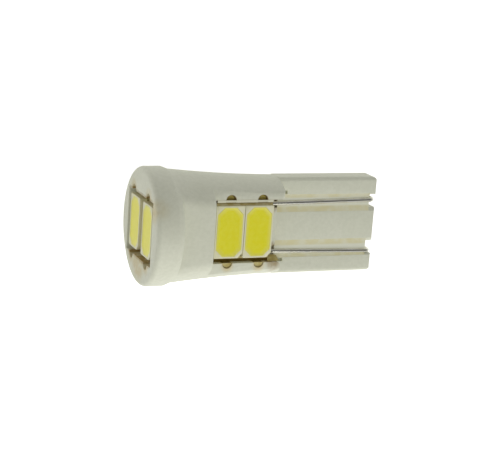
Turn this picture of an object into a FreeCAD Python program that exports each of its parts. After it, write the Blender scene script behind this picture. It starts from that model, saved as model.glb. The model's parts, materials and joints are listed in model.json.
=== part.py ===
import FreeCAD, Part
import math
import os
from FreeCAD import Placement, Rotation, Vector

# Wedge base bulb with six light chips on a one-piece ceramic body, in millimetres.
# It is modelled along its own axis: X runs from the front face of the round head to the end of
# the wedge, Y across the width of the wedge and Z through its thickness. At the end it is laid
# down as it comes to rest, on the rim of its head and the end of its wedge.

# Ceramic body: the round head, the neck behind it, the section with the side chips, the wedge
HEAD_WALL = 0.866
HEAD_RIM_ROUND = 0.5
HEAD_BAND = 2.05
HEAD_CHAMFER_LENGTH = 0.7
HEAD_CHAMFER_DROP = 0.27
NECK_LENGTH = 3.55
NECK_FLAT_DEPTH = 1.55
MOUTH_LENGTH = 1.17
CHIP_SECTION_WALL = 0.5
CHIP_FLAT = 3.2
NECK_HOLLOW = 0.13
NECK_FLAT_ROUND = 1.5
CHIP_FLAT_END_ROUND = 0.3
MOUTH_ROUND = 0.5
WEDGE_LENGTH = 11.07
WEDGE_WIDTH = 10.05
WEDGE_THICK = 2.5
WEDGE_EDGE_ROUND = 0.45
WEDGE_CORNER_ROUND = 0.5
WEDGE_END_ROUND = 0.2

# Wire grooves along both faces of the wedge, and the slots at its end
GROOVE_INNER_EDGE = 1.45
GROOVE_INNER_SLOPE = 0.5
GROOVE_FLOOR = 1.0
GROOVE_OUTER_SLOPE = 0.35
SLOT_INNER_EDGE = 1.8
SLOT_WIDTH = 1.35
SLOT_DEPTH = 0.65

# Light chips: moulded case, lens-shaped cup of phosphor, two terminals
CHIP_LONG = 5.3
CHIP_WIDE = 3.0
CHIP_HEIGHT = 0.9
CHIP_MARK = 0.5
CUP_RIM = 0.21
CUP_CORNER = 0.7
CUP_DEPTH = 0.5
CUP_DRAFT = 0.25
FILL_SINK = 0.03
TERMINAL_THICK = 0.15
TERMINAL_REACH = 0.15
TERMINAL_WIDE = 2.2
TERMINAL_GAP = 0.6
SOLDER_REACH = 0.2
SIDE_CHIP_GAP = 0.06
FRONT_CHIP_GAP = 1.0
SIDE_CHIP_PROUD = 0.1
FRONT_CHIP_RECESS = 0.1

# Chip boards, and the pockets and half-round notches that hold them
BOARD_THICK = 0.4
BOARD_MARGIN = 0.06
POCKET_CLEARANCE = 0.2
SIDE_POCKET_START = 0.3
FRONT_POCKET_MARGIN = 0.45
NOTCH_RADIUS = 0.52
NOTCH_OFFSET = 0.15
NOTCH_LEAD = 0.15
FRONT_NOTCH_RADIUS = 0.6
FRONT_NOTCH_OFFSET = 0.3

# Inner space with the core board, its resistors and the wires to the chip boards
CAVITY_WALL = 0.55
CAVITY_END_WALL = 0.25
CORE_BOARD_THICK = 0.6
CORE_BOARD_GAP = 0.2
RESISTOR_LONG = 3.2
RESISTOR_WIDE = 1.6
RESISTOR_THICK = 0.55
RESISTOR_CAP = 0.45
RESISTOR_INSET = 0.05
RESISTOR_PITCH = 2.4
LINK_WIRE = 0.3
LINK_LANDING = 0.35

# Contact wires, folded round the end of the wedge on to its other face
WIRE_DIAMETER = 0.5
WIRE_PROUD = 0.1
WIRE_SPREAD = 2.57
WIRE_SHIFT = -0.12
WIRE_DRIFT_START = -0.12
WIRE_DRIFT_END = 0.15
WIRE_BEND = 0.35
WIRE_HOLE_CLEARANCE = 0.05
WIRE_TAIL = 7.5
WIRE_LANDING = 0.7
WIRE_SOLDER_RADIUS = 0.33

# How far the cutting shapes run past the body
CUT_PAST = 1.0

# Stations along the axis
HEAD_END = HEAD_BAND + HEAD_CHAMFER_LENGTH
NECK_END = HEAD_END + NECK_LENGTH

# Chip places
SIDE_PAIR_LENGTH = 2 * CHIP_WIDE + SIDE_CHIP_GAP
SIDE_BOARD_START = NECK_END + SIDE_POCKET_START + POCKET_CLEARANCE / 2
SIDE_PAIR_START = SIDE_BOARD_START + BOARD_MARGIN
SIDE_PAIR_CENTRE = SIDE_PAIR_START + SIDE_PAIR_LENGTH / 2
SIDE_BOARD_END = SIDE_PAIR_START + SIDE_PAIR_LENGTH + BOARD_MARGIN
CHIP_SECTION_END = SIDE_BOARD_END + MOUTH_LENGTH
BULB_END = CHIP_SECTION_END + WEDGE_LENGTH
SIDE_CHIP_SHIFT = (CHIP_WIDE + SIDE_CHIP_GAP) / 2
FRONT_CHIP_SHIFT = (CHIP_WIDE + FRONT_CHIP_GAP) / 2
BOARD_HALF = max(CHIP_LONG / 2 + TERMINAL_REACH + SOLDER_REACH, WIRE_SPREAD + WIRE_SOLDER_RADIUS)
POCKET_HALF = BOARD_HALF + POCKET_CLEARANCE
SIDE_BOARD_TOP = CHIP_FLAT + SIDE_CHIP_PROUD - CHIP_HEIGHT
SIDE_FLOOR = SIDE_BOARD_TOP - BOARD_THICK
FRONT_BOARD_FACE = FRONT_CHIP_RECESS + CHIP_HEIGHT
FRONT_FLOOR = FRONT_BOARD_FACE + BOARD_THICK
FRONT_POCKET_HALF = FRONT_CHIP_SHIFT + CHIP_WIDE / 2 + FRONT_POCKET_MARGIN
SIDE_NOTCH_SHIFT = SIDE_CHIP_SHIFT + NOTCH_OFFSET
SIDE_NOTCH_CENTRE = SIDE_PAIR_CENTRE + NOTCH_LEAD
FRONT_NOTCH_SHIFT = FRONT_CHIP_SHIFT + FRONT_NOTCH_OFFSET

# Round sizes of the body, which follow from the walls left outside the corners of the pockets
HEAD_RADIUS = math.hypot(FRONT_POCKET_HALF, POCKET_HALF) + HEAD_WALL
CHIP_SECTION_RADIUS = math.hypot(CHIP_FLAT, POCKET_HALF) + CHIP_SECTION_WALL
NECK_FLAT = HEAD_RADIUS - NECK_FLAT_DEPTH

# Inner levels
CAVITY_HALF_HEIGHT = SIDE_FLOOR - CAVITY_WALL
CAVITY_HALF_WIDTH = BOARD_HALF + CORE_BOARD_GAP
CAVITY_END = SIDE_BOARD_END
PIT_START = CAVITY_END + CAVITY_END_WALL
WIRE_RADIUS = WIRE_DIAMETER / 2
WIRE_LEVEL = WEDGE_THICK / 2 + WIRE_PROUD - WIRE_RADIUS
GROOVE_LEVEL = WIRE_LEVEL - WIRE_RADIUS
WIRE_TURN = BULB_END - SLOT_DEPTH + WIRE_BEND
CORE_BOARD_TOP = WIRE_LEVEL - WIRE_RADIUS
CORE_BOARD_BOTTOM = CORE_BOARD_TOP - CORE_BOARD_THICK
CORE_BOARD_START = FRONT_FLOOR + CORE_BOARD_GAP
CORE_BOARD_END = CAVITY_END - CORE_BOARD_GAP
SIDES = (1, -1)


def block(x0, x1, y0, y1, z0, z1):
    """Box between two values on each axis."""
    return Part.makeBox(x1 - x0, y1 - y0, z1 - z0, Vector(x0, y0, z0))


def face_from(points):
    """Flat face inside a closed outline of straight edges."""
    return Part.Face(Part.makePolygon(points + [points[0]]))


def moved(shape, placement):
    """Copy of a shape at a placement."""
    copy = shape.copy()
    copy.Placement = placement.multiply(copy.Placement)
    return copy


def near(value, target, reach=0.001):
    """Whether a value is a target to within a small reach."""
    return abs(value - target) < reach


def straight_edges(shape, run, test):
    """Edges of a shape that run along one axis, both of their ends passing a test."""
    found = []
    for edge in shape.Edges:
        if len(edge.Vertexes) == 2 and all(test(v.Point) for v in edge.Vertexes):
            step = edge.Vertexes[1].Point - edge.Vertexes[0].Point
            if near(abs(step.dot(run)), edge.Length):
                found.append(edge)
    return found


def turned_blank():
    """Round blank of the head, neck and chip section, turned about the axis."""
    rim = HEAD_RADIUS - HEAD_RIM_ROUND
    rim_mid = HEAD_RIM_ROUND * (1 - math.sqrt(0.5))
    neck_radius = HEAD_RADIUS - HEAD_CHAMFER_DROP
    middle_radius = (neck_radius + CHIP_SECTION_RADIUS) / 2 - NECK_HOLLOW
    middle = Vector((HEAD_END + CHIP_SECTION_END) / 2, middle_radius, 0)
    origin = Vector(0, 0, 0)
    front = Vector(0, rim, 0)
    band_start = Vector(HEAD_RIM_ROUND, HEAD_RADIUS, 0)
    band_end = Vector(HEAD_BAND, HEAD_RADIUS, 0)
    neck_start = Vector(HEAD_END, neck_radius, 0)
    tail = Vector(CHIP_SECTION_END, CHIP_SECTION_RADIUS, 0)
    tail_centre = Vector(CHIP_SECTION_END, 0, 0)
    hollow = Part.BSplineCurve()
    hollow.interpolate([neck_start, middle, tail])
    edges = [
        Part.LineSegment(origin, front).toShape(),
        Part.Arc(front, Vector(rim_mid, HEAD_RADIUS - rim_mid, 0), band_start).toShape(),
        Part.LineSegment(band_start, band_end).toShape(),
        Part.LineSegment(band_end, neck_start).toShape(),
        hollow.toShape(),
        Part.LineSegment(tail, tail_centre).toShape(),
        Part.LineSegment(tail_centre, origin).toShape(),
    ]
    return Part.Face(Part.Wire(edges)).revolve(origin, Vector(1, 0, 0), 360)


def flat_sides(shape, level, start, end):
    """Edges along both sides of the flats at one level, from one station to another."""
    found = []
    for edge in shape.Edges:
        ends = sorted((v.Point for v in edge.Vertexes), key=lambda p: p.x)
        if len(ends) == 2 and near(ends[0].x, start) and near(ends[1].x, end):
            if near(ends[0].z, ends[1].z) and near(abs(ends[0].z), level):
                found.append(edge)
    return found


def flatted_blank():
    """Blank with the two steps of flats on both broad sides, the neck's sides and the last ends rounded."""
    blank = turned_blank()
    reach = 2 * HEAD_RADIUS
    for side in SIDES:
        for start, end, level in ((HEAD_END, NECK_END, NECK_FLAT), (NECK_END, CHIP_SECTION_END, CHIP_FLAT)):
            low, high = sorted((side * level, side * reach))
            blank = blank.cut(block(start, end, -reach, reach, low, high))
    blank = blank.makeFillet(NECK_FLAT_ROUND, flat_sides(blank, NECK_FLAT, HEAD_END, NECK_END))
    ends = straight_edges(blank, Vector(0, 1, 0),
                          lambda p: near(p.x, CHIP_SECTION_END) and near(abs(p.z), CHIP_FLAT))
    return blank.makeFillet(CHIP_FLAT_END_ROUND, ends)


def wedge_section():
    """Cross-section of the wedge: two rails, a centre block and a groove each side on both faces."""
    half_width = WEDGE_WIDTH / 2
    half_thick = WEDGE_THICK / 2
    r = WEDGE_EDGE_ROUND
    mid = r * (1 - math.sqrt(0.5))
    floor_start = GROOVE_INNER_EDGE + GROOVE_INNER_SLOPE
    floor_end = floor_start + GROOVE_FLOOR
    face = [(half_width - r, half_thick), (floor_end + GROOVE_OUTER_SLOPE, half_thick),
            (floor_end, GROOVE_LEVEL), (floor_start, GROOVE_LEVEL), (GROOVE_INNER_EDGE, half_thick)]
    edges = []
    for side in SIDES:
        line = [Vector(0, y * side, z * side) for y, z in face]
        line += [Vector(0, -y * side, z * side) for y, z in reversed(face)]
        edges += [Part.LineSegment(a, b).toShape() for a, b in zip(line, line[1:])]
        corner = line[-1]
        over = Vector(0, -half_width * side, (half_thick - r) * side)
        under = Vector(0, over.y, -over.z)
        mid_upper = Vector(0, -(half_width - mid) * side, (half_thick - mid) * side)
        mid_lower = Vector(0, mid_upper.y, -mid_upper.z)
        below = Vector(0, corner.y, -corner.z)
        edges += [Part.Arc(corner, mid_upper, over).toShape(),
                  Part.LineSegment(over, under).toShape(),
                  Part.Arc(under, mid_lower, below).toShape()]
    return Part.Face(Part.Wire(Part.__sortEdges__(edges)))


def wedge():
    """Wedge run out along the axis, its end corners rounded and its two wire slots cut."""
    start = CHIP_SECTION_END
    section = moved(wedge_section(), Placement(Vector(start, 0, 0), Rotation()))
    bar = section.extrude(Vector(WEDGE_LENGTH, 0, 0))
    plan = block(start, BULB_END, -WEDGE_WIDTH / 2, WEDGE_WIDTH / 2, -WEDGE_THICK, WEDGE_THICK)
    profile = block(start, BULB_END, -WEDGE_WIDTH, WEDGE_WIDTH, -WEDGE_THICK / 2, WEDGE_THICK / 2)
    corners = straight_edges(plan, Vector(0, 0, 1), lambda p: near(p.x, BULB_END))
    edges = straight_edges(profile, Vector(0, 1, 0), lambda p: near(p.x, BULB_END))
    bar = bar.common(plan.makeFillet(WEDGE_CORNER_ROUND, corners))
    bar = bar.common(profile.makeFillet(WEDGE_END_ROUND, edges))
    for side in SIDES:
        low, high = sorted((side * SLOT_INNER_EDGE, side * (SLOT_INNER_EDGE + SLOT_WIDTH)))
        slot = block(BULB_END - SLOT_DEPTH, BULB_END + CUT_PAST, low, high, -WEDGE_THICK, WEDGE_THICK)
        bar = bar.cut(slot)
    return bar


def mouth_plan(start):
    """Plan of a space that opens towards the wedge, its two sides rounded away at the mouth."""
    side = POCKET_HALF
    mouth = POCKET_HALF + MOUTH_ROUND
    turn = CHIP_SECTION_END - MOUTH_ROUND
    past = CHIP_SECTION_END + CUT_PAST
    mid_x = turn + MOUTH_ROUND * math.sqrt(0.5)
    mid_y = mouth - MOUTH_ROUND * math.sqrt(0.5)
    line = [Vector(start, -side, 0), Vector(turn, -side, 0), Vector(CHIP_SECTION_END, -mouth, 0),
            Vector(past, -mouth, 0), Vector(past, mouth, 0), Vector(CHIP_SECTION_END, mouth, 0),
            Vector(turn, side, 0), Vector(start, side, 0), Vector(start, -side, 0)]
    edges = []
    for number, (a, b) in enumerate(zip(line, line[1:])):
        if number in (1, 5):
            middle = Vector(mid_x, math.copysign(mid_y, a.y), 0)
            edges.append(Part.Arc(a, middle, b).toShape())
        else:
            edges.append(Part.LineSegment(a, b).toShape())
    return Part.Face(Part.Wire(edges))


def side_pocket(side):
    """Space of one side pocket, its floor running down a ramp to the face of the wedge."""
    low, high = sorted((side * SIDE_FLOOR, side * (NECK_FLAT + CUT_PAST)))
    plan = mouth_plan(NECK_END + SIDE_POCKET_START)
    space = moved(plan, Placement(Vector(0, 0, low), Rotation())).extrude(Vector(0, 0, high - low))
    ramp = [Vector(SIDE_BOARD_END, -POCKET_HALF, side * SIDE_FLOOR),
            Vector(CHIP_SECTION_END, -POCKET_HALF, side * WEDGE_THICK / 2),
            Vector(CHIP_SECTION_END, -POCKET_HALF, side * CHIP_FLAT),
            Vector(SIDE_BOARD_END, -POCKET_HALF, side * CHIP_FLAT)]
    return space.fuse(face_from(ramp).extrude(Vector(0, 2 * POCKET_HALF, 0)))


def wire_pits():
    """Pits beside the side pocket of the front face, where the two contact wires come out."""
    height = CHIP_FLAT + CUT_PAST - GROOVE_LEVEL
    plan = moved(mouth_plan(PIT_START), Placement(Vector(0, 0, GROOVE_LEVEL), Rotation()))
    bridge = GROOVE_INNER_EDGE + GROOVE_INNER_SLOPE
    keep = block(PIT_START, CHIP_SECTION_END + CUT_PAST, -bridge, bridge, 0, GROOVE_LEVEL + height)
    return plan.extrude(Vector(0, 0, height)).cut(keep)


def side_notches():
    """Half-round notches in the long walls of the side pockets, right through the body."""
    height = 2 * NECK_FLAT
    holes = []
    for along in SIDES:
        for across in SIDES:
            base = Vector(SIDE_NOTCH_CENTRE + along * SIDE_NOTCH_SHIFT, across * POCKET_HALF, -height / 2)
            holes.append(Part.makeCylinder(NOTCH_RADIUS, height, base, Vector(0, 0, 1)))
    return holes


def front_pocket():
    """Space of the front pocket with its four half-round notches."""
    space = block(-CUT_PAST, FRONT_FLOOR, -POCKET_HALF, POCKET_HALF, -FRONT_POCKET_HALF, FRONT_POCKET_HALF)
    for across in SIDES:
        for over in SIDES:
            base = Vector(-CUT_PAST, across * POCKET_HALF, over * FRONT_NOTCH_SHIFT)
            notch = Part.makeCylinder(FRONT_NOTCH_RADIUS, FRONT_FLOOR + CUT_PAST, base, Vector(1, 0, 0))
            space = space.fuse(notch)
    return space


def wire_line(across):
    """Start, direction and end of a contact wire's centre line on the front face of the wedge."""
    line = across * WIRE_SPREAD + WIRE_SHIFT
    start = Vector(CORE_BOARD_END - WIRE_LANDING, line + across * WIRE_DRIFT_START, WIRE_LEVEL)
    end = Vector(WIRE_TURN, line + across * WIRE_DRIFT_END, WIRE_LEVEL)
    direction = (end - start).normalize()
    return start, direction, end


def wire_hole(across):
    """Hole in the wall between the inner space and the pit, for one contact wire."""
    start, direction, _ = wire_line(across)
    reach = PIT_START - start.x + CAVITY_END_WALL
    return Part.makeCylinder(WIRE_RADIUS + WIRE_HOLE_CLEARANCE, reach, start, direction)


def ceramic_body():
    """One-piece body: blank and wedge, less the pockets, notches, inner space and wire holes."""
    body = flatted_blank().fuse(wedge())
    for side in SIDES:
        body = body.cut(side_pocket(side))
    cavity = block(FRONT_FLOOR, CAVITY_END, -CAVITY_HALF_WIDTH, CAVITY_HALF_WIDTH,
                   -CAVITY_HALF_HEIGHT, CAVITY_HALF_HEIGHT)
    holes = side_notches() + [wire_hole(across) for across in SIDES]
    for space in [wire_pits(), front_pocket(), cavity] + holes:
        body = body.cut(space)
    return body.removeSplitter()


def cup_outline(shrink, level):
    """Outline of the phosphor cup with its corners cut off, at one level above the board."""
    half_x = CHIP_WIDE / 2 - CUP_RIM - shrink
    half_y = CHIP_LONG / 2 - CUP_RIM - shrink
    cut = CUP_CORNER
    points = [(half_x, -half_y + cut), (half_x, half_y - cut), (half_x - cut, half_y),
              (-half_x + cut, half_y), (-half_x, half_y - cut), (-half_x, -half_y + cut),
              (-half_x + cut, -half_y), (half_x - cut, -half_y)]
    ring = [Vector(x, y, level) for x, y in points]
    return Part.makePolygon(ring + [ring[0]])


def chip():
    """One light chip standing on its board at Z = 0, long side along Y: case, phosphor and terminals."""
    half_x = CHIP_WIDE / 2
    half_y = CHIP_LONG / 2
    corners = [(-half_x, -half_y), (half_x - CHIP_MARK, -half_y), (half_x, -half_y + CHIP_MARK),
               (half_x, half_y), (-half_x, half_y)]
    base = face_from([Vector(x, y, TERMINAL_THICK) for x, y in corners])
    floor = cup_outline(CUP_DRAFT, CHIP_HEIGHT - CUP_DEPTH)
    cup = Part.makeLoft([floor, cup_outline(0, CHIP_HEIGHT)], True, True)
    case = base.extrude(Vector(0, 0, CHIP_HEIGHT - TERMINAL_THICK)).cut(cup)
    fill = cup.common(block(-half_x, half_x, -half_y, half_y, 0, CHIP_HEIGHT - FILL_SINK))
    outer = half_y + TERMINAL_REACH
    terminals = []
    for side in SIDES:
        low, high = sorted((side * TERMINAL_GAP / 2, side * outer))
        terminals.append(block(-TERMINAL_WIDE / 2, TERMINAL_WIDE / 2, low, high, 0, TERMINAL_THICK))
    return {"case": case, "phosphor": fill, "terminals": Part.makeCompound(terminals)}


def solder_fillets():
    """Solder at both ends of one chip: a hollow fillet from the end of each terminal to the board."""
    outer = CHIP_LONG / 2 + TERMINAL_REACH
    half = TERMINAL_WIDE / 2
    fillets = []
    for side in SIDES:
        top = Vector(-half, side * outer, TERMINAL_THICK)
        inner = Vector(-half, side * outer, 0)
        toe = Vector(-half, side * (outer + SOLDER_REACH), 0)
        sag = Vector(-half, side * (outer + SOLDER_REACH / 3), TERMINAL_THICK / 3)
        edges = [Part.LineSegment(toe, inner).toShape(), Part.LineSegment(inner, top).toShape(),
                 Part.Arc(top, sag, toe).toShape()]
        fillets.append(Part.Face(Part.Wire(edges)).extrude(Vector(TERMINAL_WIDE, 0, 0)))
    return fillets


def chip_places():
    """Placement of each of the six chips, by name."""
    flip = Rotation(Vector(1, 0, 0), 180)
    forward = Rotation(Vector(0, 1, 0), -90)
    places = {}
    for number, shift in enumerate((-1, 1), start=1):
        x = SIDE_PAIR_CENTRE + shift * SIDE_CHIP_SHIFT
        places["side_a_%d" % number] = Placement(Vector(x, 0, SIDE_BOARD_TOP), Rotation())
        places["side_b_%d" % number] = Placement(Vector(x, 0, -SIDE_BOARD_TOP), flip)
        spot = Vector(FRONT_BOARD_FACE, 0, shift * FRONT_CHIP_SHIFT)
        places["front_%d" % number] = Placement(spot, forward)
    return places


def chip_boards():
    """Thin boards under the chips: one on each broad side and one in the head."""
    boards = {}
    for name, side in (("side_a", 1), ("side_b", -1)):
        low, high = sorted((side * SIDE_FLOOR, side * SIDE_BOARD_TOP))
        boards[name] = block(SIDE_BOARD_START, SIDE_BOARD_END, -BOARD_HALF, BOARD_HALF, low, high)
    half = FRONT_CHIP_SHIFT + CHIP_WIDE / 2 + BOARD_MARGIN
    boards["front"] = block(FRONT_BOARD_FACE, FRONT_FLOOR, -BOARD_HALF, BOARD_HALF, -half, half)
    return boards


def pipe(points, bend, radius):
    """Round wire along straight runs joined by tangent bends."""
    edges = []
    last = points[0]
    for before, corner, after in zip(points, points[1:], points[2:]):
        into = (corner - before).normalize()
        out = (after - corner).normalize()
        half_turn = into.getAngle(out) / 2
        back = bend * math.tan(half_turn)
        arc_start = corner - into * back
        arc_end = corner + out * back
        to_centre = (out - into).normalize()
        depth = bend / math.cos(half_turn) - bend
        edges.append(Part.LineSegment(last, arc_start).toShape())
        edges.append(Part.Arc(arc_start, corner + to_centre * depth, arc_end).toShape())
        last = arc_end
    edges.append(Part.LineSegment(last, points[-1]).toShape())
    heading = (points[1] - points[0]).normalize()
    profile = Part.Wire(Part.makeCircle(radius, points[0], heading))
    return Part.Wire(edges).makePipeShell([profile], True, False)


def contact_wire(across):
    """Tinned wire from the core board, along its groove, round the end slot and back on the other face."""
    start, direction, end = wire_line(across)
    under = Vector(end.x, end.y, -end.z)
    tail = under - Vector(direction.x, direction.y, 0).normalize() * WIRE_TAIL
    return pipe([start, end, under, tail], WIRE_BEND, WIRE_RADIUS)


def wire_solder(across):
    """Drop of solder that holds one contact wire on the core board."""
    start, direction, _ = wire_line(across)
    centre = Vector(start.x + WIRE_LANDING / 2, start.y, CORE_BOARD_TOP)
    drop = Part.makeSphere(WIRE_SOLDER_RADIUS, centre)
    reach = 2 * WIRE_SOLDER_RADIUS
    keep = block(centre.x - reach, centre.x + reach, centre.y - reach, centre.y + reach,
                 CORE_BOARD_TOP, CORE_BOARD_TOP + reach)
    core = Part.makeCylinder(WIRE_RADIUS, 2 * WIRE_LANDING, start, direction)
    drop = drop.common(keep).cut(core)
    return max(drop.Solids, key=lambda solid: solid.Volume)


def core_board():
    """Board in the inner space that carries the resistors and joins the wires."""
    half = BOARD_HALF
    return block(CORE_BOARD_START, CORE_BOARD_END, -half, half, CORE_BOARD_BOTTOM, CORE_BOARD_TOP)


def resistor(across):
    """Chip resistor under the core board, with its two plated end caps."""
    x = (CORE_BOARD_START + CORE_BOARD_END) / 2
    y = across * RESISTOR_PITCH / 2
    low = CORE_BOARD_BOTTOM - RESISTOR_THICK
    half = RESISTOR_LONG / 2
    wide = RESISTOR_WIDE / 2
    body = block(x - half, x + half, y - wide + RESISTOR_INSET, y + wide - RESISTOR_INSET,
                 low + RESISTOR_INSET, CORE_BOARD_BOTTOM - RESISTOR_INSET)
    for side in SIDES:
        near_end, far_end = sorted((x + side * half, x + side * (half - RESISTOR_CAP)))
        body = body.fuse(block(near_end, far_end, y - wide, y + wide, low, CORE_BOARD_BOTTOM))
    return body.removeSplitter()


def side_links():
    """Two pins in the notches nearer the head, on the edges of both side boards and of the core board."""
    radius = LINK_WIRE / 2
    x = SIDE_NOTCH_CENTRE - SIDE_NOTCH_SHIFT
    pins = []
    for across in SIDES:
        foot = Vector(x, across * (BOARD_HALF + radius), -SIDE_BOARD_TOP)
        pins.append(Part.makeCylinder(radius, 2 * SIDE_BOARD_TOP, foot, Vector(0, 0, 1)))
    return Part.makeCompound(pins)


def front_links():
    """Two short pins from the back of the front board to the core board."""
    radius = LINK_WIRE / 2
    length = CORE_BOARD_START + 2 * LINK_LANDING - FRONT_FLOOR
    pins = []
    for across in SIDES:
        start = Vector(FRONT_FLOOR, across * RESISTOR_PITCH / 2, CORE_BOARD_TOP + radius)
        pins.append(Part.makeCylinder(radius, length, start, Vector(1, 0, 0)))
    return Part.makeCompound(pins)


def bulb_pieces():
    """Every piece of the bulb by node name, along the bulb's own axis."""
    pieces = {"ceramic_body": ceramic_body(), "core_board": core_board()}
    for name, board in chip_boards().items():
        pieces["board_%s" % name] = board
    parts = chip()
    solder = {}
    for name, place in chip_places().items():
        for part_name, shape in parts.items():
            pieces["chip_%s_%s" % (name, part_name)] = moved(shape, place)
        group = solder.setdefault(name.rsplit("_", 1)[0], [])
        group += [moved(fillet, place) for fillet in solder_fillets()]
    pieces["link_pins_side"] = side_links()
    pieces["link_pins_front"] = front_links()
    for group_name, fillets in solder.items():
        pieces["solder_%s" % group_name] = Part.makeCompound(fillets)
    for number, across in enumerate(SIDES, start=1):
        pieces["contact_wire_%d" % number] = contact_wire(across)
        pieces["resistor_%d" % number] = resistor(across)
    pieces["solder_wires"] = Part.makeCompound([wire_solder(across) for across in SIDES])
    return pieces


def resting_tilt():
    """Tilt at which the back edge of the head's band and the end of the wedge touch one plane."""
    wire_bend = (WIRE_TURN - WIRE_BEND, WIRE_LEVEL - WIRE_BEND, WIRE_BEND + WIRE_RADIUS)
    wedge_end = (BULB_END - WEDGE_END_ROUND, WEDGE_THICK / 2 - WEDGE_END_ROUND, WEDGE_END_ROUND)
    tilts = []
    for x, z, radius in (wire_bend, wedge_end):
        along = x - HEAD_BAND
        drop = HEAD_RADIUS - z
        tilts.append(math.atan2(drop, along) - math.asin(radius / math.hypot(along, drop)))
    return min(tilts)


def laid_down(pieces):
    """Pieces turned about Y to lie at rest, with the bottom centre of their box at the origin."""
    lean = Rotation(Vector(0, 1, 0), math.degrees(resting_tilt()))
    turn = Placement(Vector(0, 0, 0), lean)
    leaning = {name: moved(shape, turn) for name, shape in pieces.items()}
    box = Part.makeCompound(list(leaning.values())).optimalBoundingBox(False, False)
    shift = Vector(-(box.XMin + box.XMax) / 2, -(box.YMin + box.YMax) / 2, -box.ZMin)
    return {name: moved(shape, Placement(shift, Rotation())) for name, shape in leaning.items()}


def main():
    """Write one STEP file for each piece."""
    os.makedirs("parts", exist_ok=True)
    for name, shape in laid_down(bulb_pieces()).items():
        shape.exportStep("parts/%s.step" % name)


main()
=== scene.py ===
import json
import math

import bmesh
import bpy
from mathutils import Matrix, Vector


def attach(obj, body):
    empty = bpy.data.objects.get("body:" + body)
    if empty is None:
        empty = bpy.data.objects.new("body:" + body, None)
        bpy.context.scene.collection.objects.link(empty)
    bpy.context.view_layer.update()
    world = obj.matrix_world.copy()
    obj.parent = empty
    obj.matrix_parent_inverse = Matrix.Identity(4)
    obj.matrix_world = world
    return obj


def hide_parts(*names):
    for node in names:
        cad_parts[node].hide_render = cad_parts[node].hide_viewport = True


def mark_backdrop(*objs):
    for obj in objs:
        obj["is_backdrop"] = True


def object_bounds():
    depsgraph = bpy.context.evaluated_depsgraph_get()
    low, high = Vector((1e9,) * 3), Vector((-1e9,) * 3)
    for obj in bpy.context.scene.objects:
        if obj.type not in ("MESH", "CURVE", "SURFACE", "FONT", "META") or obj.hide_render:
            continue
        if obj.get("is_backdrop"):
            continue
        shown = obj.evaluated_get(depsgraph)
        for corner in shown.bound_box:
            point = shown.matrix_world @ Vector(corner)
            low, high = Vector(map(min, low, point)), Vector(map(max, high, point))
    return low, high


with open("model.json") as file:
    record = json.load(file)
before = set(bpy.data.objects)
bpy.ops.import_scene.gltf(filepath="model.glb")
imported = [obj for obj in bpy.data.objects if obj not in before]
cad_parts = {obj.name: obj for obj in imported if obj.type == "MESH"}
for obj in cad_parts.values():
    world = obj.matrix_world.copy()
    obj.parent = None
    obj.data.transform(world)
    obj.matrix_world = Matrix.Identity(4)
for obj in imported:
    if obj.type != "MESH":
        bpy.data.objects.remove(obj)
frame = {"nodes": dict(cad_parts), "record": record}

bl_info = {
    "name": "Wedge base bulb",
    "version": (1, 0, 0),
    "blender": (4, 5, 0),
    "location": "View3D > Sidebar > Bulb",
    "description": "Builds the looks of a small wedge base bulb round its CAD model, and its photo stage",
    "category": "Object",
}

BODY = "root"
MM = 0.001
MOUNTS = {m["name"]: m for m in frame["record"]["mounts"]}


# Places in the bulb's own frame
def mount_point(name):
    """Point of a mount in the row frame."""
    return Vector(MOUNTS[name]["pos_m"])


def bulb_matrix():
    """Bulb frame in the row frame: X along from the front face, Y across, Z out of the upper face."""
    along = Vector(MOUNTS["wedge_cap"]["axis"]).normalized()
    out = Vector(MOUNTS["contact_face_upper"]["axis"]).normalized()
    across = out.cross(along)
    end = mount_point("wedge_cap")
    origin = end - along * (end - mount_point("head_front_face")).dot(along)
    turn = Matrix((along, across, out)).transposed().to_4x4()
    return Matrix.Translation(origin) @ turn


BULB = bulb_matrix()
TO_BULB = BULB.inverted()


def bulb_box(node):
    """Lowest and highest corner of a CAD node in the bulb frame."""
    points = [TO_BULB @ v.co for v in frame["nodes"][node].data.vertices]
    low = Vector([min(p[i] for p in points) for i in range(3)])
    high = Vector([max(p[i] for p in points) for i in range(3)])
    return low, high


def chip_middle(number):
    """Place along the bulb of a side chip's middle, in millimetres."""
    low, high = bulb_box("chip_side_a_%d_case" % number)
    return (low.x + high.x) / 2 / MM


def at(x, y, z):
    """Point of the row frame from millimetres in the bulb frame."""
    return BULB @ Vector((x * MM, y * MM, z * MM))


# Places on the ceramic, in millimetres of the bulb frame; the second notch lies a little past its chip
SECTION_END = (TO_BULB @ mount_point("seat_shoulder")).x / MM
FACE_LEVEL = (TO_BULB @ mount_point("contact_face_upper")).z / MM
CHIP_PROUD = 0.1
FLAT_LEVEL = bulb_box("chip_side_a_1_case")[1].z / MM - CHIP_PROUD
BOARD_CLEARANCE = 0.2
POCKET_HALF = bulb_box("board_side_a")[1].y / MM + BOARD_CLEARANCE
POCKET_MIDDLE = 10.1
POCKET_REACH = 3.5
NOTCH_LEAD = 0.3
NOTCHES_ALONG = (chip_middle(1), chip_middle(2) + NOTCH_LEAD)
PIT_ALONG = 13.4
PIT_OUT = 2.6
PIT_UP = 1.6
GROOVE_EDGES = (1.42, 3.33)
CEMENT_END = 24.4
CEMENT_DEEP = 0.3
CEMENT_SINK = 0.005
CEMENT_STEPS = 10
CEMENT_FALLS = (3.2, 5.0)

# Cement tans: distance from the middle, half width and soft edge
CEMENT_TANS = ((1.72, 0.2, 0.25), (3.12, 0.1, 0.2))

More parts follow.
